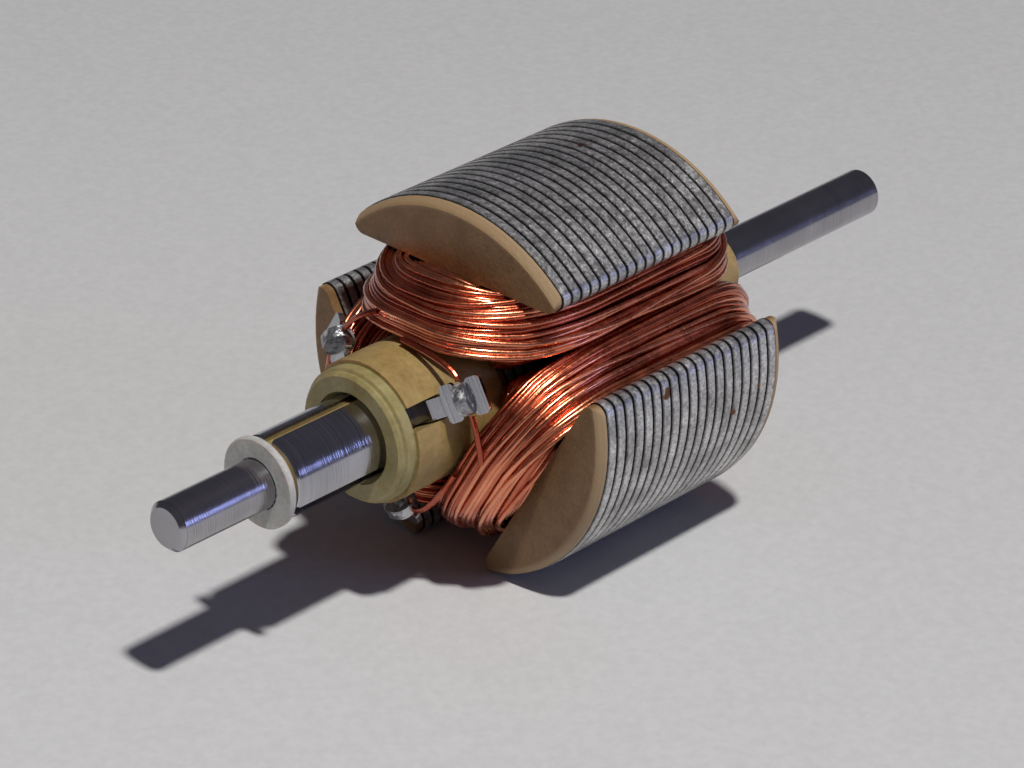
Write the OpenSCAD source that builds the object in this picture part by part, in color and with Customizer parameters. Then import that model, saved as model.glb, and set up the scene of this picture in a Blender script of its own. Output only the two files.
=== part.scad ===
// Wound armature of a small brushed motor: three poles, a laminated core,
// three coils and a three-segment commutator on one shaft.
// X runs along the shaft, with the commutator end at -X and the plain output
// end at +X. +Z is up through the middle of the first pole. The origin is on
// the shaft's axis, halfway along the lamination stack.

/* [Shaft] */
// Diameter of the shaft
shaft_d = 2; // [1.5:0.1:2.4]
// Length of the shaft from the middle of the stack to its commutator end
shaft_front = 20.2; // [18:0.1:30]
// Length of the shaft from the middle of the stack to its output end
shaft_rear = 19.8; // [14:0.1:30]
// Chamfer on each end of the shaft
shaft_chamfer = 0.2; // [0.05:0.05:0.4]
// Height of the knurl under the pressed-on pieces, above the plain shaft
knurl_h = 0.03; // [0.01:0.01:0.06]

/* [Lamination stack] */
// Number of steel laminations
lamination_count = 19; // [13:1:23]
// Thickness of one lamination
lamination_t = 0.515; // [0.35:0.005:0.6]
// Chamfer on the rim of each lamination
lamination_chamfer = 0.1; // [0.02:0.01:0.14]
// Diameter across the pole faces
rotor_d = 15.5; // [14.5:0.1:18]
// Thickness of a pole shoe at its middle
shoe_t = 2.8; // [2.2:0.1:3.2]
// Radius of the rounded shoe tips
shoe_tip_r = 0.5; // [0.2:0.05:0.8]
// Width of the tooth that carries a coil
tooth_w = 2.6; // [2:0.1:3.2]
// Fillet between a tooth and its shoe
tooth_fillet = 0.25; // [0.1:0.05:0.4]
// Diameter of the hub that joins the teeth
hub_d = 5.5; // [4.6:0.1:5.8]

/* [Insulating plates] */
// Thickness of the plate on each end of the stack
plate_t = 0.4; // [0.2:0.05:0.8]
// Chamfer on the outer rim of each plate
plate_chamfer = 0.25; // [0.05:0.05:0.3]
// How far the rim of each plate stands back from the pole faces
plate_inset = 0.05; // [0:0.05:0.3]

/* [Windings] */
// Diameter of the enamelled wire
wire_d = 0.23; // [0.15:0.01:0.3]
// Radius out to which the wire fills the mouths of the slots
winding_r = 5.95; // [5.4:0.05:6.3]
// How far the end turns stand out at the commutator end
winding_front = 2.6; // [1.8:0.1:2.8]
// How far the end turns stand out at the output end
winding_rear = 2.1; // [1.2:0.1:3]
// How far the end turns rise above the inner face of the shoes
winding_rise = 0.4; // [0:0.05:0.8]
// Share of the half stack over which the outermost turn bends in at the
// commutator end
bend_front = 0.7; // [0.1:0.05:0.8]
// Share of the half stack over which the outermost turn bends in at the output
// end
bend_rear = 0.3; // [0.1:0.05:0.8]
// Clearance round a coil
winding_gap = 0.08; // [0.05:0.01:0.12]
// Turns that show across the outside of a coil
ridge_count = 25; // [12:1:30]

/* [Commutator] */
// Diameter of the brush track
track_d = 3.38; // [3:0.02:3.6]
// Length of the brush track in front of the retaining ring
track_l = 4.3; // [3:0.1:5]
// Thickness of the segment metal
segment_t = 0.25; // [0.15:0.01:0.35]
// Width of the slot between two segments
segment_gap = 0.43; // [0.2:0.01:0.6]
// Chamfer on the front edge of the segments
segment_chamfer = 0.1; // [0.02:0.02:0.14]
// How far the core stands out in front of the segments
core_nose = 0.28; // [0.1:0.02:0.6]
// Diameter of the core's collar
collar_d = 5.76; // [5.2:0.02:5.8]
// Length of the core's collar, from the plate to the retaining ring
collar_l = 4.7; // [4.4:0.1:6]
// Length of each notch in the collar, from its front face
notch_l = 1.6; // [1.4:0.05:1.8]
// Width of each notch beside the tab it holds
notch_gap = 0.08; // [0.04:0.01:0.2]
// Diameter of the retaining ring
ring_d = 5.44; // [4.8:0.02:5.7]
// Length of the retaining ring
ring_l = 0.75; // [0.5:0.05:1.2]
// Diameter of the front washer
washer_d = 3.64; // [3:0.02:4]
// Thickness of the front washer
washer_t = 0.3; // [0.15:0.05:0.6]

/* [Tabs and solder] */
// Width of the neck of a tab
tab_w = 0.8; // [0.6:0.05:1]
// Width of the wings of a tab
tab_wing_w = 1.5; // [1.2:0.05:1.7]
// Length of each pair of wings, along the tab
tab_wing_l = 0.6; // [0.4:0.05:0.7]
// Length of the waist between the wings, where the wire is wound on
tab_waist_l = 0.5; // [0.3:0.05:0.6]
// How far each tab leans back towards the coils
tab_lean = 28; // [10:1:32]
// Diameter of the bead of solder round the waist of a tab
solder_d = 1.3; // [1:0.05:1.4]

/* [Rear spacer] */
// Diameter of the spacer behind the stack
spacer_d = 3.1; // [2.7:0.1:4]
// Length of the spacer behind the stack
spacer_l = 4.8; // [2:0.1:6]
// Rounding on the rear edge of the spacer
spacer_round = 0.2; // [0.05:0.05:0.25]

/* [Hidden] */
$fn = 96;
POLES = 3;
pole_pitch = 360 / POLES;
// Radial clearance of what is pressed or laid on a round seat
seat_gap = 0.01;
// Straight knurl that holds what is pressed on the shaft, and the bore that clears its crests
knurl_teeth = 24;
seat_bore_r = shaft_d / 2 + knurl_h + seat_gap;

// Stack and plates
rotor_r = rotor_d / 2;
hub_r = hub_d / 2;
stack_l = lamination_count * lamination_t;
stack_x = -stack_l / 2;
plate_front_x = stack_x - plate_t;
plate_rear_x = stack_x + stack_l;
core_end = stack_l / 2 + plate_t;
// Rear end of the spacer
spacer_x = core_end + spacer_l;

// Shoe: its inner face, and the centre of each rounded tip
shoe_h = rotor_r - shoe_t;
tip_h = shoe_h + shoe_tip_r;
tip_y = sqrt(pow(rotor_r - shoe_tip_r, 2) - pow(tip_h, 2));
tip_angle = atan2(tip_y, tip_h);

// Commutator stations along the shaft
collar_r = collar_d / 2;
collar_x = plate_front_x - collar_l;
ring_x = collar_x - ring_l;
track_r = track_d / 2;
track_x = ring_x - track_l;
core_x = track_x - core_nose;
washer_x = core_x - washer_t;
sleeve_r = track_r - segment_t - seat_gap;
// Open mouth of the ring, where the track runs into it
ring_mouth_flare = 0.18;
ring_mouth_r = track_r + ring_mouth_flare;
ring_mouth_l = 0.3;

// Tab: the metal turns up at tab_x and leans back from tab_bend_r outwards
tab_bend_drop = 0.3;
tab_bend_r = collar_r - tab_bend_drop;
tab_x = collar_x + notch_l - notch_gap - segment_t / 2
    - tab_bend_drop * tan(tab_lean) - segment_t / 2 / cos(tab_lean);
tab_neck_l = 0.62;
tab_l = tab_neck_l + 2 * tab_wing_l + tab_waist_l;
tab_waist_s = tab_neck_l + tab_wing_l + tab_waist_l / 2;
tab_round = 0.18;

function lamination_name(i) = str("lamination_", i < 10 ? "0" : "", i);

// ---- Placing -------------------------------------------------------------

// Turns a shape drawn upright so that its height runs along the shaft
module along_shaft(x) translate([x, 0, 0]) rotate([90, 0, 90]) children();

// Turns a shape from the first pole to pole i
module at_pole(i) rotate([(i - 1) * pole_pitch, 0, 0]) children();

// Turns a shape from the first pole to the slot after pole i
module at_slot(i) rotate([(i - 0.5) * pole_pitch, 0, 0]) children();

// Solid of revolution about the shaft, from a list of [x, radius]
module turned(profile) rotate([0, 90, 0]) rotate([0, 0, 90])
    rotate_extrude() polygon([for (p = profile) [p[1], p[0]]]);

// ---- Shaft ---------------------------------------------------------------

// Plain ends, and a knurl along the length that the pressed-on pieces cover
module shaft() color("lightsteelblue") {
    shaft_r = shaft_d / 2;
    core_r = shaft_r - 3 * knurl_h;
    turned([
        [-shaft_front, 0],
        [-shaft_front, shaft_r - shaft_chamfer],
        [-shaft_front + shaft_chamfer, shaft_r],
        [washer_x, shaft_r],
        [washer_x, core_r],
        [spacer_x, core_r],
        [spacer_x, shaft_r],
        [shaft_rear - shaft_chamfer, shaft_r],
        [shaft_rear, shaft_r - shaft_chamfer],
        [shaft_rear, 0]
    ]);
    along_shaft(washer_x) linear_extrude(spacer_x - washer_x) knurl_outline(shaft_r);
}

// Crests above the shaft and valleys as far below it
module knurl_outline(r) polygon([for (i = [0:2 * knurl_teeth - 1])
    (r + (i % 2 == 0 ? knurl_h : -knurl_h)) * from_pole(1, i * 180 / knurl_teeth)]);

// ---- Laminations and plates ----------------------------------------------

function arc(centre, r, from, to, steps) =
    [for (i = [0:steps]) let (a = from + (to - from) * i / steps)
        centre + r * [cos(a), sin(a)]];

// Half of a pole, from the shaft out along the tooth and round the shoe's tip.
// It runs past the pole face, which the rim then cuts to a true cylinder.
function pole_half(inset) = concat(
    [[tooth_w / 2 - inset, 0]],
    arc([tooth_w / 2 + tooth_fillet, shoe_h - tooth_fillet],
        tooth_fillet + inset, 180, 90, 5),
    arc([tip_y, tip_h], shoe_tip_r - inset, -90, 90 - tip_angle, 8),
    [rotor_r / cos(tip_angle) * 1.1 * [sin(tip_angle), cos(tip_angle)]]
);
function mirrored(points) =
    [for (i = [len(points) - 1:-1:0]) [-points[i][0], points[i][1]]];

module pole_outline(inset) {
    circle(hub_r - inset);
    for (i = [0:POLES - 1]) rotate(i * pole_pitch)
        polygon(concat(pole_half(inset), mirrored(pole_half(inset))));
}

// A flat piece with the outline of the poles and a chamfered rim
module pole_sheet(t, chamfer_front, chamfer_rear, inset) difference() {
    intersection() {
        along_shaft(0) linear_extrude(t) pole_outline(inset);
        turned([
            [0, 0],
            [0, rotor_r - inset - chamfer_front],
            [chamfer_front, rotor_r - inset],
            [t - chamfer_rear, rotor_r - inset],
            [t, rotor_r - inset - chamfer_rear],
            [t, 0]
        ]);
    }
    along_shaft(-t) cylinder(h = 3 * t, r = seat_bore_r);
}

module lamination(i) color("darkgray")
    translate([stack_x + (i - 1) * lamination_t, 0, 0])
        pole_sheet(lamination_t, lamination_chamfer, lamination_chamfer, 0);

module front_plate() color("peru") translate([plate_front_x, 0, 0])
    pole_sheet(plate_t, plate_chamfer, 0, plate_inset);

module rear_plate() color("peru") translate([plate_rear_x, 0, 0])
    pole_sheet(plate_t, 0, plate_chamfer, plate_inset);

// ---- Coils ---------------------------------------------------------------
// A coil is swept round its tooth. Its section changes from the shape of the
// slot, as [sideways, outwards], to the shape of the end turns, as
// [past the plate, outwards], and each turn that shows is a ridge on it.

winding_in_r = max(hub_r, collar_r) + winding_gap;
function from_pole(r, a) = r * [sin(a), cos(a)];
function by_slot(r) = from_pole(r, pole_pitch / 2 - asin(winding_gap / r));

// Side of the tooth and inner face of the shoe, as the coil meets them
slot_side = tooth_w / 2 + winding_gap;
slot_top = shoe_h - winding_gap;
// Room left free under each shoe tip, and angle from the middle of the slot
// at which the bulge of the winding is full
tip_room = 0.5;
bulge_angle = 10;
slot_section = [
    [slot_side, slot_top],
    [tip_y - tip_room, slot_top],
    from_pole(winding_r, pole_pitch / 2 - bulge_angle),
    by_slot(winding_r),
    by_slot(winding_in_r),
    [slot_side, sqrt(pow(winding_in_r, 2) - pow(slot_side, 2))]
];

// Section of the end turns, as [share of the reach, share of the height]
end_shape = [[0, 1], [0.5, 0.97], [0.9, 0.6], [1, 0.3], [0.94, 0], [0, 0]];
rear_drop = 0.4;
rear_in_r = winding_in_r - rear_drop;
function end_section(reach, low) = let (high = shoe_h + winding_rise)
    [for (s = end_shape) [
        winding_gap + s[0] * (reach - winding_gap),
        low + s[1] * (high - low)]];

// Closed outline with each corner cut back along its edges and rounded
corner_cut = 0.6;
function rounded(p) = let (n = len(p)) [for (i = [0:n - 1]) let (
    before = p[(i + n - 1) % n] - p[i],
    after = p[(i + 1) % n] - p[i],
    from = p[i] + before * min(corner_cut / norm(before), 0.45),
    to = p[i] + after * min(corner_cut / norm(after), 0.45))
    each [from, (from + 2 * p[i] + to) / 4, to]];
function perimeter(p, i = 0) =
    i == len(p) ? 0 : norm(p[(i + 1) % len(p)] - p[i]) + perimeter(p, i + 1);
function walk(p, d, i = 0) = let (a = p[i % len(p)], b = p[(i + 1) % len(p)])
    d <= norm(b - a) || i > len(p) ? a + (b - a) * d / norm(b - a)
                                   : walk(p, d - norm(b - a), i + 1);

// Share of the outline that shows, with the ridges, and the rest, left smooth
shown_share = 0.7;
hidden_points = 6;
// Depth of the valley between two ridges, as a share of the wire
valley_share = 0.35;
section_points = 2 * ridge_count + hidden_points;
function section_share(j) = j < 2 * ridge_count
    ? shown_share * j / (2 * ridge_count)
    : shown_share + (1 - shown_share) * (j - 2 * ridge_count) / hidden_points;
function middle(p, i = 0) = i == len(p) ? [0, 0] : p[i] / len(p) + middle(p, i + 1);
function ridged(outline) = let (
    p = rounded(outline),
    length = perimeter(p),
    centre = middle(p))
    [for (j = [0:section_points - 1]) let (
        q = walk(p, length * section_share(j)),
        valley = j < 2 * ridge_count && j % 2 == 1 ? valley_share * wire_d : 0)
        q + valley * (centre - q) / norm(centre - q)];

slot_ridges = ridged(slot_section);
front_ridges = ridged(end_section(winding_front, winding_in_r));
rear_ridges = ridged(end_section(winding_rear, rear_in_r));

// Stations round the tooth: [end, side, angle], where the angle turns from
// the slot, at 0, to the middle of the end turns, at 90
corner_steps = 6;
function corner(end, side, from, to) =
    [for (i = [0:corner_steps]) [end, side, from + (to - from) * i / corner_steps]];
stations = concat(
    corner(-1, 1, 0, 90), [[-1, 0, 90]], corner(-1, -1, 90, 0),
    corner(1, -1, 0, 90), [[1, 0, 90]], corner(1, 1, 90, 0)
);
// Most of the slot's distance that the straight middle may take
flat_share = 0.9;
// Half of the straight middle of an end turn, at the hub and under the shoe
flat_low = 1.3;
flat_high = 0.3;
slot_width = by_slot(winding_r)[0] - slot_side;
function coil_point(station, j) = let (
    end = station[0], side = station[1], a = station[2],
    slot = slot_ridges[j],
    turn = end < 0 ? front_ridges[j] : rear_ridges[j],
    least = end < 0 ? winding_in_r : rear_in_r,
    bend = (end < 0 ? bend_front : bend_rear) * (slot[0] - slot_side) / slot_width,
    start = core_end * (1 - bend),
    up = (turn[1] - least) / (shoe_h + winding_rise - least),
    flat = min(flat_share * slot[0], flat_low + (flat_high - flat_low) * up),
    x = start + (core_end + turn[0] - start) * sin(a),
    y = side * (flat + (slot[0] - flat) * cos(a)),
    lift = max(0, x - core_end) / turn[0],
    h = slot[1] * (1 - lift) + turn[1] * lift,
    z = max(h, sqrt(max(0, pow(least, 2) - pow(y, 2)))))
    [end * x, y, z];
coil_points = [for (s = stations) for (j = [0:section_points - 1]) coil_point(s, j)];
coil_faces = [for (i = [0:len(stations) - 1]) for (j = [0:section_points - 1]) let (
    n = section_points,
    i2 = (i + 1) % len(stations), j2 = (j + 1) % n,
    a = i * n + j, b = i * n + j2, c = i2 * n + j2, d = i2 * n + j)
    each [[a, c, b], [a, d, c]]];

module coil(i) color("orangered") at_pole(i)
    polyhedron(coil_points, coil_faces, convexity = 10);

// ---- Commutator ----------------------------------------------------------

module commutator_core() color("burlywood") difference() {
    turned([
        [core_x, 0],
        [core_x, sleeve_r],
        [collar_x, sleeve_r],
        [collar_x, collar_r],
        [plate_front_x, collar_r],
        [plate_front_x, 0]
    ]);
    along_shaft(core_x - 1) cylinder(h = -core_x, r = seat_bore_r);
    for (i = [1:POLES]) at_slot(i) notch();
}

// Room in the collar for the root of a tab, open to the front
module notch() translate([collar_x - 1, -tab_w / 2 - notch_gap, sleeve_r])
    cube([notch_l + 1, tab_w + 2 * notch_gap, collar_r]);

// Ring pushed over the segments to hold them down, with an open mouth
module retaining_ring() color("goldenrod") {
    bore = track_r + seat_gap;
    edge = 0.12;
    turned([
        [ring_x, ring_mouth_r],
        [ring_x, ring_d / 2 - 2 * edge],
        [ring_x + edge, ring_d / 2 - edge],
        [ring_x + 2 * edge, ring_d / 2 - edge],
        [ring_x + 2.5 * edge, ring_d / 2],
        [collar_x, ring_d / 2],
        [collar_x, bore],
        [ring_x + ring_mouth_l, bore],
        [ring_x + ring_mouth_l - (ring_mouth_r - bore), ring_mouth_r]
    ]);
}

module front_washer() color("whitesmoke") {
    edge = 0.06;
    turned([
        [washer_x, seat_bore_r],
        [washer_x, washer_d / 2 - edge],
        [washer_x + edge, washer_d / 2],
        [core_x - edge, washer_d / 2],
        [core_x, washer_d / 2 - edge],
        [core_x, seat_bore_r]
    ]);
}

// Angle that half the slot between two segments takes
half_gap = asin(segment_gap / 2 / track_r);

// One segment: a curved bar of the track, a strip along the notch and the tab
module segment(i) color("silver") at_slot(i) {
    intersection() {
        difference() {
            turned([
                [track_x, 0],
                [track_x, track_r - segment_chamfer],
                [track_x + segment_chamfer, track_r],
                [collar_x, track_r],
                [collar_x, 0]
            ]);
            along_shaft(track_x - 1)
                cylinder(h = collar_x - track_x + 2, r = track_r - segment_t);
        }
        segment_wedge();
    }
    tab_root();
    tab_blade() tab_outline();
}

// Sector that one segment fills
module segment_wedge() along_shaft(track_x - 1)
    linear_extrude(collar_x - track_x + 2) {
        a = pole_pitch / 2 - half_gap;
        polygon(concat([[0, 0]], [for (k = [-3:3]) 2 * track_r * from_pole(1, k * a / 3)]));
    }

// Strip in the notch, and the bend where it turns up
module tab_root() {
    low = track_r - segment_t;
    overlap = 0.4;
    intersection() {
        translate([collar_x - overlap, -tab_w / 2, low])
            cube([tab_x + segment_t - collar_x + overlap, tab_w, segment_t]);
        turned([[collar_x - 1, low], [collar_x - 1, track_r], [0, track_r], [0, low]]);
    }
    translate([tab_x, -tab_w / 2, track_r - segment_t])
        cube([segment_t, tab_w, tab_bend_r - track_r + segment_t]);
    translate([tab_x + segment_t / 2, -tab_w / 2, tab_bend_r]) rotate([-90, 0, 0])
        cylinder(h = tab_w, d = segment_t);
}

// Places a flat shape, drawn [across, along], in the leaning part of the tab
module tab_frame() translate([tab_x + segment_t / 2, 0, tab_bend_r])
    rotate([0, tab_lean, 0]) rotate([90, 0, 90]) children();
module tab_blade() tab_frame() translate([0, 0, -segment_t / 2])
    linear_extrude(segment_t) children();

module rounded_bar(w, l) {
    translate([-w / 2 + tab_round, 0]) square([w - 2 * tab_round, l]);
    translate([-w / 2, tab_round]) square([w, l - 2 * tab_round]);
    for (y = [tab_round, l - tab_round]) for (x = [-1, 1])
        translate([x * (w / 2 - tab_round), y]) circle(tab_round, $fn = 32);
}

module tab_outline() {
    translate([-tab_w / 2, 0]) square([tab_w, tab_neck_l + tab_round]);
    translate([-tab_w / 2, tab_neck_l])
        square([tab_w, tab_l - tab_neck_l - tab_round]);
    for (s = [tab_neck_l, tab_l - tab_wing_l])
        translate([0, s]) rounded_bar(tab_wing_w, tab_wing_l);
}

// Solder wetted round the wire on the waist of a tab
module solder_joint(i) color("slategray") at_slot(i) difference() {
    tab_frame() translate([0, tab_waist_s]) rotate([-90, 0, 0]) rotate_extrude($fn = 48)
        intersection() {
            translate([0, -tab_waist_l / 2]) square([solder_d, tab_waist_l]);
            translate([-solder_d / 2, 0]) circle(d = 2 * solder_d);
        }
    tab_blade() tab_outline();
}

// ---- Leads ---------------------------------------------------------------

lead_sides = 8;
lead_rings = 10;
function bezier(p, u) = pow(1 - u, 3) * p[0] + 3 * u * pow(1 - u, 2) * p[1]
    + 3 * u * u * (1 - u) * p[2] + pow(u, 3) * p[3];
function unit(v) = v / norm(v);

// Round wire along a Bezier curve
module wire(ends) {
    n = lead_sides;
    path = [for (k = [0:lead_rings]) bezier(ends, k / lead_rings)];
    rings = [for (k = [0:lead_rings]) let (
        ahead = unit(path[min(k + 1, lead_rings)] - path[max(k - 1, 0)]),
        across = unit(cross(ahead, [1, 0, 0])),
        up = cross(across, ahead))
        for (s = [0:n - 1])
            path[k] + wire_d / 2 * (cos(s * 360 / n) * across + sin(s * 360 / n) * up)];
    polyhedron(rings, concat(
        [[for (s = [n - 1:-1:0]) s]],
        [[for (s = [0:n - 1]) lead_rings * n + s]],
        [for (k = [0:lead_rings - 1]) for (s = [0:n - 1]) let (t = (s + 1) % n) each
            [[k * n + s, (k + 1) * n + t, (k + 1) * n + s],
             [k * n + s, k * n + t, (k + 1) * n + t]]]));
}

// Where a lead meets the solder, on the side of a tab that faces its coil.
// The angle is from the coil's pole to the tab.
lead_seat = 0.05;
function at_tab(angle, off) = let (
    r = tab_bend_r + tab_waist_s * cos(tab_lean),
    x = tab_x + segment_t / 2 + tab_waist_s * sin(tab_lean),
    inward = angle < 0 ? 1 : -1)
    [x, r * sin(angle), r * cos(angle)]
    + (solder_d / 2 + off) * inward * [0, cos(angle), -sin(angle)];

// Station of the leads, in front of the end turns
lead_x = -core_end - winding_front;
lead_r = winding_in_r + wire_d;

// A coil's first turn, from the foot of its end turns to the tab after it
module start_lead(i) color("chocolate") at_pole(i) wire([
    [lead_x - wire_d / 2, 0, lead_r],
    [lead_x - wire_d, -0.45 * lead_r, lead_r],
    at_tab(-pole_pitch / 2, 3 * wire_d),
    at_tab(-pole_pitch / 2, lead_seat)
]);

// A coil's last turn, from the tab before it down onto the end turns
module finish_lead(i) color("chocolate") at_pole(i) wire([
    at_tab(pole_pitch / 2, lead_seat),
    at_tab(pole_pitch / 2, 2 * wire_d),
    [lead_x - wire_d, 0.7 * lead_r, 1.1 * lead_r],
    [lead_x, 0.45 * lead_r, 1.2 * lead_r]
]);

// ---- Spacer --------------------------------------------------------------

module rear_spacer() color("cornsilk") turned([
    [core_end, seat_bore_r],
    [core_end, spacer_d / 2],
    [spacer_x - spacer_round, spacer_d / 2],
    [spacer_x, spacer_d / 2 - spacer_round],
    [spacer_x, seat_bore_r]
]);

shaft();
for (i = [1:lamination_count])
    lamination(i);
front_plate();
rear_plate();
for (i = [1:POLES]) coil(i);
commutator_core();
retaining_ring();
front_washer();
for (i = [1:POLES]) segment(i);
for (i = [1:POLES]) solder_joint(i);
for (i = [1:POLES]) start_lead(i);
for (i = [1:POLES]) finish_lead(i);
rear_spacer();
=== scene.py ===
"""Looks of the motor armature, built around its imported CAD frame."""
import itertools
import math

import bpy
import numpy as np
from mathutils import Matrix, Vector


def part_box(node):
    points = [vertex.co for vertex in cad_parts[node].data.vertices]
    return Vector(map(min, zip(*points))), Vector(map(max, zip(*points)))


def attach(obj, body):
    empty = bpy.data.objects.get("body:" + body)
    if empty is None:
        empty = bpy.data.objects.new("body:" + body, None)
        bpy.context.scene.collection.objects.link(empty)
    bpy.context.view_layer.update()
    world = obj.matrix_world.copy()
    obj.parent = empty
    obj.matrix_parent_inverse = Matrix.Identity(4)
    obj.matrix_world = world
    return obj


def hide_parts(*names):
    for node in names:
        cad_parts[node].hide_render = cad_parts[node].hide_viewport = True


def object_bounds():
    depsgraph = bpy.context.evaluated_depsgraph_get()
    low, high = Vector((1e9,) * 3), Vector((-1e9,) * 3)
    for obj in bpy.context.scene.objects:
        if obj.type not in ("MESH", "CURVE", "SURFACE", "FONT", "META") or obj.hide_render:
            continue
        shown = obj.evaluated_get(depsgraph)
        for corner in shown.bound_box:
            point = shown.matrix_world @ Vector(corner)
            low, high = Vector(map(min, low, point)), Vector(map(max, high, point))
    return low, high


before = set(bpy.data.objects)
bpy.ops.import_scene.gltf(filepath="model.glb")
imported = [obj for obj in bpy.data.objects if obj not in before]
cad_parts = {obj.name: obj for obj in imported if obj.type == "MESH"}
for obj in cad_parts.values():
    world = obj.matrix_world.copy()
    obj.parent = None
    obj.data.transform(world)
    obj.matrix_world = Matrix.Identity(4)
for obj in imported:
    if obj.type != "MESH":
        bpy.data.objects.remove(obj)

CAD_BOX = [list(corner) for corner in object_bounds()]
MM = 0.001
POLES = 3
SHEETS = 19
POLE_PITCH = 2 * math.pi / POLES

# ---- Sizes, in metres, taken from the frame -------------------------------

STACK_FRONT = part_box("lamination_01")[0].x
STACK_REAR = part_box(f"lamination_{SHEETS:02d}")[1].x
LAMINATION_T = (STACK_REAR - STACK_FRONT) / SHEETS
PLATE_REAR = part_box("rear_plate")[1].x
ROTOR_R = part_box("lamination_01")[1].z
FLOOR_Z = min(corner[2] for corner in CAD_BOX)
COLLAR_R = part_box("commutator_core")[1].z
WIRE_R = 0.115 * MM
WIRE_SIDES = 8


# ---- Mesh helpers ---------------------------------------------------------

def new_object(name, vertices, faces, smooth=True):
    """Mesh object from points in the row frame and faces."""
    mesh = bpy.data.meshes.new(name)
    mesh.from_pydata([tuple(v) for v in vertices], [], faces)
    mesh.update()
    if smooth:
        mesh.polygons.foreach_set("use_smooth", [True] * len(mesh.polygons))
    obj = bpy.data.objects.new(name, mesh)
    bpy.context.scene.collection.objects.link(obj)
    return obj


def tube(path):
    """Vertices and faces of a closed round wire along a loop of points."""
    path = np.asarray(path, float)
    ahead = np.roll(path, -1, 0) - np.roll(path, 1, 0)
    ahead /= np.linalg.norm(ahead, axis=1)[:, None]
    across = np.cross(ahead[0], [0.3, 0.5, 0.8])
    vertices = []
    for k in range(len(path)):
        across = across - ahead[k] * across.dot(ahead[k])
        across /= np.linalg.norm(across)
        up = np.cross(ahead[k], across)
        for s in range(WIRE_SIDES):
            angle = 2 * math.pi * s / WIRE_SIDES
            ray = math.cos(angle) * across + math.sin(angle) * up
            vertices.append(path[k] + WIRE_R * ray)
    twist = best_twist(vertices, len(path) - 1, 0, WIRE_SIDES)
    return vertices, loop_faces(len(path), WIRE_SIDES, twist)


def loop_faces(rings, sides, twist=0):
    """Faces between rings in a loop. The last meets the first turned by twist."""
    faces = []
    for k in range(rings):
        after = (k + 1) % rings
        shift = twist if after == 0 else 0
        for s in range(sides):
            t = (s + 1) % sides
            faces.append((k * sides + s, k * sides + t,
                          after * sides + (t + shift) % sides, after * sides + (s + shift) % sides))
    return faces


def best_twist(vertices, k, after, sides):
    """Turn between the last and the first ring of a closed tube that matches best."""
    last = np.array(vertices[k * sides:(k + 1) * sides])
    first = np.array(vertices[after * sides:(after + 1) * sides])
    return min(range(sides), key=lambda w: np.abs(last - np.roll(first, -w, 0)).sum())


def merged(parts):
    """One list of vertices and faces from several."""
    vertices, faces = [], []
    for v, f in parts:
        base = len(vertices)
        vertices += list(v)
        faces += [tuple(base + i for i in face) for face in f]
    return vertices, faces


def about_shaft(points, angle):
    """Points turned about the shaft, +Z towards -Y."""
    points = np.asarray(points, float)
    c, s = math.cos(angle), math.sin(angle)
    return np.column_stack([points[:, 0], c * points[:, 1] - s * points[:, 2],
                            s * points[:, 1] + c * points[:, 2]])


# ---- Coils ----------------------------------------------------------------
# The same form as the CAD coils, in mm: a section that changes from the slot,
# as (sideways, outwards), to the end turns, as (past the plate, outwards).

TOOTH_SIDE, SHOE_H, TIP_Y = 1.38, 4.95, 4.78
WINDING_R, RISE = 5.95, 0.4
GAP = 0.08
REAR_DROP = 0.32
TIP_ROOM = 0.5
BULGE_ANGLE = math.radians(10)
FLAT_SHARE = 0.9
LEAST_REACH = 0.05
REACH = {-1: 2.6, 1: 2.1}
BEND = {-1: 0.7, 1: 0.3}
IN_R = {-1: COLLAR_R / MM + GAP, 1: COLLAR_R / MM - REAR_DROP}
FLAT_LOW, FLAT_HIGH = 1.3, 0.3
CORE_END = PLATE_REAR / MM
END_SHAPE = [(0, 1), (0.5, 0.97), (0.9, 0.6), (1, 0.3), (0.94, 0), (0, 0)]

# How the turns lie: the pitch and depths in mm, the shares along the outline,
# and the drifts as parts of the pitch
TURN_PITCH = 0.235
FIRST_SHARE, LAST_SHARE = 0.012, 0.80
LAYERS = ((WIRE_R / MM, 0.0), (3.0 * WIRE_R / MM, 0.5))
DRIFT, OWN_DRIFT = 0.35, 0.28
SINK = 0.022
HARMONICS = ((1, 1.0), (2, 0.7), (3, 0.4), (5, 0.25))
LOOSE_TURNS = 7
LOOSE_SHARES = (0.15, 0.6)
LOOSE_SWEEP = 3.5
LOOSE_DEPTH = -0.35 * WIRE_R / MM
INNER_DEPTH = 0.36
INNER_SIDES = 40
FIRST_SEED = 10


def from_pole(r, angle):
    """Sideways and outwards, at a radius and an angle from the pole."""
    return (r * math.sin(angle), r * math.cos(angle))


def by_slot(r):
    """The point beside the middle of the slot, at a radius."""
    return from_pole(r, POLE_PITCH / 2 - math.asin(GAP / r))


def rounded(outline, cut=0.6, steps=4):
    """Closed outline with its corners rounded."""
    p = np.asarray(outline, float)
    points = []
    for i in range(len(p)):
        before, after = p[i - 1] - p[i], p[(i + 1) % len(p)] - p[i]
        a = p[i] + before * min(cut / np.linalg.norm(before), 0.45)
        b = p[i] + after * min(cut / np.linalg.norm(after), 0.45)
        for k in range(steps + 1):
            u = k / steps
            points.append((1 - u) ** 2 * a + 2 * u * (1 - u) * p[i] + u * u * b)
    return np.array(points)


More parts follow.
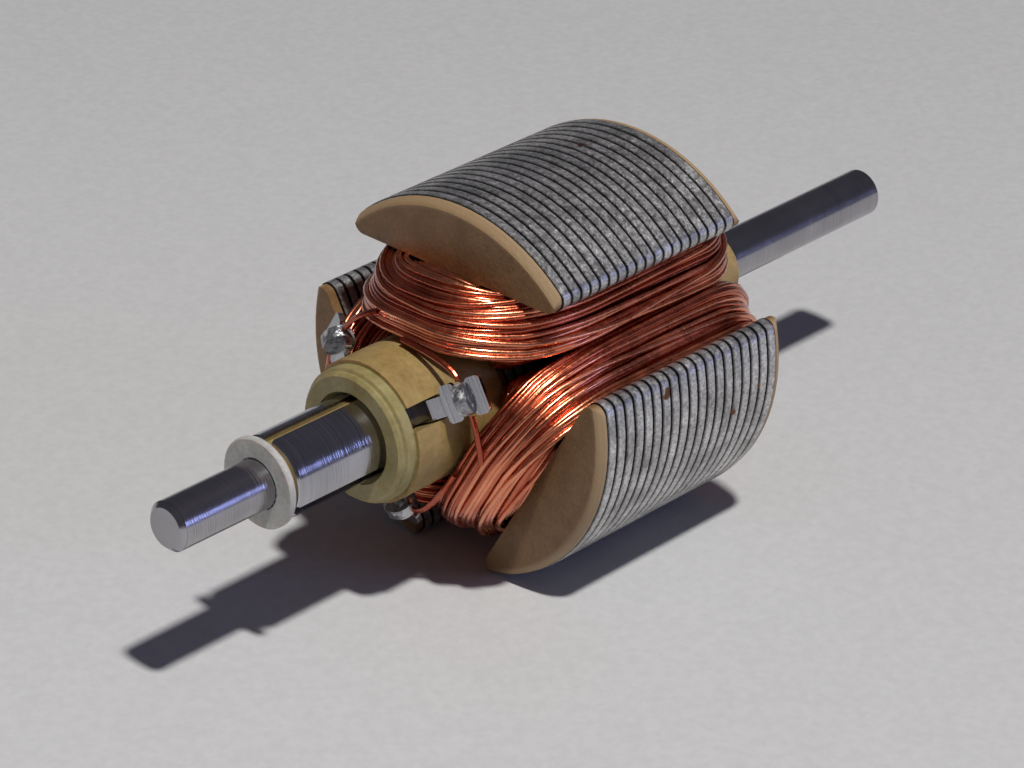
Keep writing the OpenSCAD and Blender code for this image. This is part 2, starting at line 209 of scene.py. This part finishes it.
class Outline:
    """A closed outline, read by its share of length, with an inward normal."""

    STEP = 0.01
    TINY = 1e-12

    def __init__(self, corners):
        p = rounded(corners)
        self.p = np.vstack([p, p[:1]])
        self.s = np.concatenate([[0], np.cumsum(np.linalg.norm(np.diff(self.p, axis=0), axis=1))])
        self.length = self.s[-1]
        self.s /= self.length

    def at(self, share, inward=0.0):
        share = share % 1.0
        point = self.on(share)
        if inward:
            ahead = self.on(share + self.STEP) - self.on(share - self.STEP)
            normal = np.array([ahead[1], -ahead[0]]) / (np.linalg.norm(ahead) + self.TINY)
            point = point + inward * normal
        return point

    def on(self, share):
        share = share % 1.0
        return np.array([np.interp(share, self.s, self.p[:, axis]) for axis in (0, 1)])


LOW_R = IN_R[-1]
SLOT = Outline([
    (TOOTH_SIDE, SHOE_H - GAP), (TIP_Y - TIP_ROOM, SHOE_H - GAP),
    from_pole(WINDING_R, POLE_PITCH / 2 - BULGE_ANGLE), by_slot(WINDING_R),
    by_slot(LOW_R), (TOOTH_SIDE, math.sqrt(LOW_R ** 2 - TOOTH_SIDE ** 2))])
END = {e: Outline([(GAP + s * (REACH[e] - GAP), IN_R[e] + h * (SHOE_H + RISE - IN_R[e]))
                   for s, h in END_SHAPE]) for e in (-1, 1)}
SLOT_WIDTH = by_slot(WINDING_R)[0] - TOOTH_SIDE


def coil_point(end, side, angle, share, inward):
    """A point of the winding, in mm, at a share of its section's outline."""
    slot = SLOT.at(share, inward)
    turn = END[end].at(share, inward)
    least = IN_R[end] + max(inward, 0) * 0.5
    bend = BEND[end] * max(slot[0] - TOOTH_SIDE, 0) / SLOT_WIDTH
    start = CORE_END * (1 - bend)
    up = (turn[1] - IN_R[end]) / (SHOE_H + RISE - IN_R[end])
    flat = min(FLAT_SHARE * slot[0], FLAT_LOW + (FLAT_HIGH - FLAT_LOW) * up)
    x = start + (CORE_END + turn[0] - start) * math.sin(angle)
    y = side * (flat + (slot[0] - flat) * math.cos(angle))
    lift = max(0.0, x - CORE_END) / max(turn[0], LEAST_REACH)
    h = slot[1] * (1 - lift) + turn[1] * lift
    z = max(h, math.sqrt(max(0.0, least ** 2 - y ** 2)))
    return (end * x, y, z)


def turn_stations(corner=12, straight=6):
    """Stations once round the tooth: (end, side, angle, along the slot)."""
    quarter = [math.pi / 2 * k / corner for k in range(corner + 1)]
    loop = []
    for end, first in ((-1, 1), (1, -1)):
        loop += [(end, first, a, 0) for a in quarter]
        loop += [(end, 0, math.pi / 2, 0)]
        loop += [(end, -first, a, 0) for a in reversed(quarter)]
        loop += [(end, -first, 0, k / straight) for k in range(1, straight)]
    return loop


def wander(rng, count, amplitude):
    """A smooth closed wave round the loop, from a few random harmonics."""
    t = np.linspace(0, 2 * math.pi, count, endpoint=False)
    wave = np.zeros(count)
    for k, share in HARMONICS:
        wave += share * rng.normal() * np.sin(k * t + rng.uniform(0, 2 * math.pi))
    return amplitude * wave


def strand(stations, share, inward):
    """Path of one turn, in mm. share and inward have a value for each station."""
    points = []
    for (end, side, angle, along), s, off in zip(stations, share, inward):
        p = np.array(coil_point(end, side, angle, s, off))
        if along:
            q = np.array(coil_point(-end, side, 0, s, off))
            p = p + (q - p) * along
        points.append(p)
    return points


def laid_turns(rng, stations):
    """Paths of the turns laid side by side, in an outer and a second layer."""
    n = len(stations)
    pitch = TURN_PITCH / SLOT.length
    for depth, phase in LAYERS:
        drift = wander(rng, n, DRIFT * pitch)
        for share in np.arange(FIRST_SHARE + phase * pitch, LAST_SHARE, pitch):
            own = wander(rng, n, OWN_DRIFT * pitch)
            inward = depth + np.abs(wander(rng, n, SINK))
            yield strand(stations, share + drift + own, inward)


def loose_turns(rng, stations):
    """Paths of the few turns that cross over the others."""
    n = len(stations)
    for _ in range(LOOSE_TURNS):
        middle = rng.uniform(*LOOSE_SHARES)
        sweep = rng.uniform(-LOOSE_SWEEP, LOOSE_SWEEP) * TURN_PITCH / SLOT.length
        t = np.linspace(0, 2 * math.pi, n, endpoint=False) + rng.uniform(0, 6)
        yield strand(stations, middle + sweep * np.sin(t), np.full(n, LOOSE_DEPTH))


def coil(pole, seed):
    """The turns of one coil that show, and a body in painted shade that fills it."""
    rng = np.random.default_rng(seed)
    stations = turn_stations()
    n = len(stations)
    angle = (pole - 1) * POLE_PITCH
    parts, tones = [], []
    for path in itertools.chain(laid_turns(rng, stations), loose_turns(rng, stations)):
        parts.append(tube(about_shaft(np.array(path) * MM, angle)))
        tones.append(rng.uniform(0, 1))
    sizes = [len(v) for v, f in parts]
    turns = new_object(f"coil_{pole}_turns", *merged(parts))
    tone = turns.data.attributes.new("tone", "FLOAT", "POINT")
    tone.data.foreach_set("value", np.repeat(tones, sizes).astype(np.float32))

    lines = [strand(stations, np.full(n, share), np.full(n, INNER_DEPTH))
             for share in np.linspace(0, 1, INNER_SIDES, endpoint=False)]
    body = np.array(lines).transpose(1, 0, 2).reshape(-1, 3)
    inner = new_object(f"coil_{pole}_inner", about_shaft(body * MM, angle),
                       loop_faces(n, INNER_SIDES))
    return turns, inner


# ---- Materials ------------------------------------------------------------

class Material:
    """A Principled material with a few short ways to add nodes."""

    def __init__(self, name, **values):
        self.mat = bpy.data.materials.new(name)
        self.mat.use_nodes = True
        self.nodes = self.mat.node_tree.nodes
        self.links = self.mat.node_tree.links
        self.shader = self.nodes["Principled BSDF"]
        for key, value in values.items():
            self.shader.inputs[key.replace("_", " ")].default_value = value
        self.place = self.nodes.new("ShaderNodeTexCoord").outputs["Object"]

    def link(self, a, b):
        self.links.new(a, b)

    def stretched(self, scale):
        node = self.nodes.new("ShaderNodeMapping")
        node.inputs["Scale"].default_value = scale
        self.link(self.place, node.inputs["Vector"])
        return node.outputs["Vector"]

    def noise(self, size, detail=3, rough=0.55, stretch=None):
        node = self.nodes.new("ShaderNodeTexNoise")
        node.inputs["Scale"].default_value = 1 / size
        node.inputs["Detail"].default_value = detail
        node.inputs["Roughness"].default_value = rough
        self.link(self.stretched(stretch) if stretch else self.place, node.inputs["Vector"])
        return node.outputs["Fac"]

    def ramp(self, fac, *stops):
        node = self.nodes.new("ShaderNodeValToRGB")
        ramp = node.color_ramp
        while len(ramp.elements) < len(stops):
            ramp.elements.new(0.5)
        for element, (position, colour) in zip(ramp.elements, stops):
            element.position = position
            element.color = (*colour, 1) if isinstance(colour, tuple) else (colour, colour, colour, 1)
        self.link(fac, node.inputs["Fac"])
        return node.outputs["Color"]

    def math(self, operation, a, b=None, c=None):
        node = self.nodes.new("ShaderNodeMath")
        node.operation = operation
        for slot, value in zip(node.inputs, (a, b, c)):
            if value is None:
                continue
            if isinstance(value, (int, float)):
                slot.default_value = value
            else:
                self.link(value, slot)
        return node.outputs["Value"]

    def mix(self, fac, a, b, blend="MIX"):
        node = self.nodes.new("ShaderNodeMix")
        node.data_type = "RGBA"
        node.blend_type = blend
        for key, value in (("Factor_Float", fac), ("A_Color", a), ("B_Color", b)):
            slot = next(s for s in node.inputs if s.identifier == key)
            if isinstance(value, (int, float)):
                slot.default_value = value
            elif isinstance(value, tuple):
                slot.default_value = (*value, 1)
            else:
                self.link(value, slot)
        return next(s for s in node.outputs if s.identifier == "Result_Color")

    def split(self):
        node = self.nodes.new("ShaderNodeSeparateXYZ")
        self.link(self.place, node.inputs[0])
        return node.outputs

    def bump(self, height, distance, strength=1.0):
        node = self.nodes.new("ShaderNodeBump")
        node.inputs["Distance"].default_value = distance
        node.inputs["Strength"].default_value = strength
        self.link(height, node.inputs["Height"])
        self.link(node.outputs["Normal"], self.shader.inputs["Normal"])

    def colour(self, socket):
        self.link(socket, self.shader.inputs["Base Color"])

    def roughness(self, socket):
        self.link(socket, self.shader.inputs["Roughness"])


def lamination_steel():
    """Mottled sheet edges, with painted shade darkening the seam between each two, and a little rust."""
    m = Material("lamination_steel", Metallic=0.9)
    x = m.split()["X"]
    sheet = m.math("DIVIDE", m.math("SUBTRACT", x, STACK_FRONT), LAMINATION_T)
    place = m.math("ABSOLUTE", m.math("SUBTRACT", m.math("FRACT", sheet), 0.5))
    # Painted shade: the seam between each two sheets is darkened almost to black in the colour
    gap_shade = m.ramp(place, (0.28, 1.0), (0.42, 0.02))
    fine = m.ramp(m.noise(0.00012, 4, 0.7), (0.3, (0.34, 0.325, 0.31)), (0.62, (0.92, 0.91, 0.90)))
    broad = m.ramp(m.noise(0.0012, 3), (0.35, 0.55), (0.7, 1.0))
    rust = m.ramp(m.noise(0.0009, 2, 0.4), (0.76, 0.0), (0.80, 1.0))
    colour = m.mix(1.0, m.mix(1.0, fine, broad, "MULTIPLY"), gap_shade, "MULTIPLY")
    m.colour(m.mix(rust, colour, (0.16, 0.07, 0.03)))
    m.roughness(m.ramp(m.noise(0.0002, 3), (0.3, 0.28), (0.7, 0.55)))
    m.bump(m.noise(0.00009, 3), 0.00002)
    return m.mat


def board():
    """Tan insulating board, with a painted highlight along its rounded edge."""
    m = Material("insulating_board", Metallic=0.0)
    x, y, z = (m.split()[k] for k in "XYZ")
    r = m.math("SQRT", m.math("ADD", m.math("MULTIPLY", y, y), m.math("MULTIPLY", z, z)))
    # Painted highlight: the colour is lightened towards the rounded edge
    rim_highlight = m.ramp(m.math("DIVIDE", r, ROTOR_R), (0.945, 0.0), (0.98, 1.0))
    base = m.ramp(m.noise(0.0011, 4), (0.3, (0.165, 0.088, 0.033)), (0.7, (0.235, 0.132, 0.055)))
    speck = m.ramp(m.noise(0.00013, 2, 0.6), (0.25, 0.8), (0.75, 1.12))
    colour = m.mix(1.0, base, speck, "MULTIPLY")
    m.colour(m.mix(rim_highlight, colour, (0.34, 0.23, 0.125)))
    m.roughness(m.ramp(m.noise(0.0005, 3), (0.3, 0.38), (0.7, 0.56)))
    m.bump(m.noise(0.00018, 3), 0.00002)
    return m.mat


BRIGHT_COPPER = ((0.52, 0.10, 0.045), (0.95, 0.36, 0.19))
# Painted shade: a darkened copy of the copper for the bodies that fill the coils
SHADED_COPPER = ((0.08, 0.012, 0.006), (0.16, 0.03, 0.012))


def enamelled_wire(name, low, high):
    """Copper under clear enamel, from a low to a high tone for each turn: its own tones, or with the
    shaded pair a copy in painted shade.
    """
    m = Material(name, Metallic=1.0, Coat_Weight=0.6, Coat_Roughness=0.12)
    tone = m.nodes.new("ShaderNodeAttribute")
    tone.attribute_name = "tone"
    own = m.ramp(tone.outputs["Fac"], (0.0, low), (1.0, high))
    patch = m.ramp(m.noise(0.0016, 3), (0.35, (0.72, 0.62, 0.6)), (0.65, (1.0, 1.0, 1.0)))
    m.colour(m.mix(1.0, own, patch, "MULTIPLY"))
    m.roughness(m.ramp(m.noise(0.0006, 3), (0.3, 0.2), (0.7, 0.36)))
    m.bump(m.noise(0.00025, 2), 0.000015)
    return m.mat


def nylon(name, low, high):
    """Natural nylon, a little translucent."""
    m = Material(name, Metallic=0.0, Subsurface_Weight=0.25, Subsurface_Scale=0.0006)
    base = m.ramp(m.noise(0.0014, 4), (0.3, low), (0.7, high))
    speck = m.ramp(m.noise(0.0002, 3, 0.65), (0.3, 0.82), (0.7, 1.08))
    m.colour(m.mix(1.0, base, speck, "MULTIPLY"))
    m.roughness(m.ramp(m.noise(0.0004, 3), (0.3, 0.34), (0.7, 0.52)))
    m.bump(m.noise(0.0003, 3), 0.00002)
    return m.mat


def turned_metal(name, low, high, rough, rings):
    """Bright metal with fine rings round the shaft."""
    m = Material(name, Metallic=1.0)
    ring = m.noise(1.0, 3, 0.6, (1 / rings, 60, 60))
    patch = m.noise(0.0018, 3)
    base = m.ramp(ring, (0.3, low), (0.7, high))
    m.colour(m.mix(1.0, base, m.ramp(patch, (0.3, 0.8), (0.7, 1.0)), "MULTIPLY"))
    m.roughness(m.ramp(ring, (0.3, rough), (0.7, rough + 0.1)))
    m.bump(ring, 0.000006)
    return m.mat


def solder():
    """Dull solder with frosty patches."""
    m = Material("solder", Metallic=0.85)
    frost = m.ramp(m.noise(0.0005, 3), (0.48, 0.0), (0.56, 1.0))
    grey = m.ramp(m.noise(0.00016, 3), (0.3, (0.20, 0.20, 0.21)), (0.7, (0.45, 0.45, 0.47)))
    m.colour(m.mix(frost, grey, (0.74, 0.75, 0.76)))
    m.roughness(m.ramp(frost, (0.0, 0.3), (1.0, 0.62)))
    m.bump(m.noise(0.00022, 4), 0.00006)
    return m.mat


def paper():
    """Pale paper with painted light, brighter towards the camera."""
    m = Material("floor", Roughness=0.85)
    x, y = m.split()["X"], m.split()["Y"]
    depth = m.math("ADD", m.math("MULTIPLY", x, 0.74), m.math("MULTIPLY", y, 0.68))
    across = m.math("MULTIPLY_ADD", depth, 9.0, 0.5)
    # Painted light: the paper colour fades from lighter near the camera to darker farther away
    painted_light_falloff = m.ramp(across, (0.05, (0.60, 0.60, 0.60)), (0.95, (0.44, 0.44, 0.44)))
    grain = m.ramp(m.noise(0.0004, 2), (0.3, 0.95), (0.7, 1.03))
    m.colour(m.mix(1.0, painted_light_falloff, grain, "MULTIPLY"))
    return m.mat


def dress(nodes, material):
    """Gives a material to CAD nodes."""
    for name in nodes:
        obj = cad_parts[name]
        obj.data.materials.clear()
        obj.data.materials.append(material)
        obj.data.polygons.foreach_set("material_index", [0] * len(obj.data.polygons))


def add_piece(obj, material, replaces=None):
    """Puts an added piece on the root body, in place of the nodes it replaces."""
    obj.data.materials.append(material)
    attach(obj, "root")
    if replaces:
        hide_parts(*replaces)


# ---- Camera, floor and light ----------------------------------------------

# Azimuth, elevation and roll in degrees
CAMERA_TURN = (-47.29, 28.02, 0.89)
CAMERA_DISTANCE = 162.907 * MM
CAMERA_LENS = 146.05
AIM_RIGHT, AIM_UP = -1.302 * MM, -1.553 * MM
FLOOR_HALF = 0.6


def set_camera():
    azimuth, elevation, roll = (math.radians(a) for a in CAMERA_TURN)
    back = Vector((math.sin(azimuth) * math.cos(elevation),
                   -math.cos(azimuth) * math.cos(elevation), math.sin(elevation)))
    level = Vector((math.cos(azimuth), math.sin(azimuth), 0))
    upright = back.cross(level)
    right = math.cos(roll) * level + math.sin(roll) * upright
    up = back.cross(right)
    place = right * AIM_RIGHT + up * AIM_UP + back * CAMERA_DISTANCE
    data = bpy.data.cameras.new("camera")
    data.sensor_width = 36
    data.lens = CAMERA_LENS
    data.clip_start = 0.01
    camera = bpy.data.objects.new("camera", data)
    camera.matrix_world = Matrix.Translation(place) @ Matrix((right, up, back)).transposed().to_4x4()
    bpy.context.scene.collection.objects.link(camera)
    bpy.context.scene.camera = camera


def add_sun(name, azimuth, elevation, strength, colour, size):
    data = bpy.data.lights.new(name, "SUN")
    data.energy = strength
    data.color = colour
    data.angle = math.radians(size)
    light = bpy.data.objects.new(name, data)
    a, e = math.radians(azimuth), math.radians(elevation)
    towards = Vector((math.sin(a) * math.cos(e), -math.cos(a) * math.cos(e), math.sin(e)))
    light.rotation_euler = towards.to_track_quat("Z", "Y").to_euler()
    bpy.context.scene.collection.objects.link(light)


def set_light():
    add_sun("key", -20, 67.5, 3.1, (1.0, 0.98, 0.95), 4)
    add_sun("fill", 25, 14, 0.42, (0.42, 0.48, 1.0), 18)
    world = bpy.data.worlds.new("world")
    world.use_nodes = True
    world.node_tree.nodes["Background"].inputs["Color"].default_value = (0.062, 0.060, 0.075, 1)
    bpy.context.scene.world = world
    bpy.context.scene.view_settings.view_transform = "Standard"


def add_floor():
    size = FLOOR_HALF
    floor = new_object("floor", [(-size, -size, FLOOR_Z), (size, -size, FLOOR_Z),
                                 (size, size, FLOOR_Z), (-size, size, FLOOR_Z)], [(0, 1, 2, 3)], False)
    floor.data.materials.append(paper())


# ---- Making ---------------------------------------------------------------

set_camera()
set_light()
add_floor()

laminations = [f"lamination_{i:02d}" for i in range(1, SHEETS + 1)]
thirds = range(1, POLES + 1)
dress(laminations, lamination_steel())
dress(["front_plate", "rear_plate"], board())
dress(["shaft"], turned_metal("shaft_steel", (0.34, 0.33, 0.35), (0.56, 0.55, 0.58), 0.16, 0.00006))
dress([f"segment_{i}" for i in thirds],
      turned_metal("segment_metal", (0.40, 0.40, 0.43), (0.62, 0.62, 0.66), 0.10, 0.00008))
# The tan of the core, spacer and ring is partly the nylon's own cream and partly painted reflection of
# the copper wire; the grey-white washer is the plain nylon
dress(["commutator_core", "rear_spacer"], nylon("moulded_nylon", (0.27, 0.18, 0.06), (0.38, 0.27, 0.105)))
dress(["retaining_ring"], nylon("ring_nylon", (0.25, 0.20, 0.075), (0.36, 0.31, 0.14)))
dress(["front_washer"], nylon("washer_nylon", (0.42, 0.42, 0.40), (0.55, 0.55, 0.52)))
dress([f"solder_joint_{i}" for i in thirds], solder())

copper = enamelled_wire("enamelled_wire", *BRIGHT_COPPER)
# A copy of the wire copper darkened as painted shade, for the bodies inside the coils
shade = enamelled_wire("enamelled_wire_painted_shade", *SHADED_COPPER)
dress([f"{kind}_lead_{i}" for kind in ("start", "finish") for i in thirds], copper)
for i in thirds:
    turns, inner = coil(i, FIRST_SEED + i)
    add_piece(turns, copper, [f"coil_{i}"])
    add_piece(inner, shade)
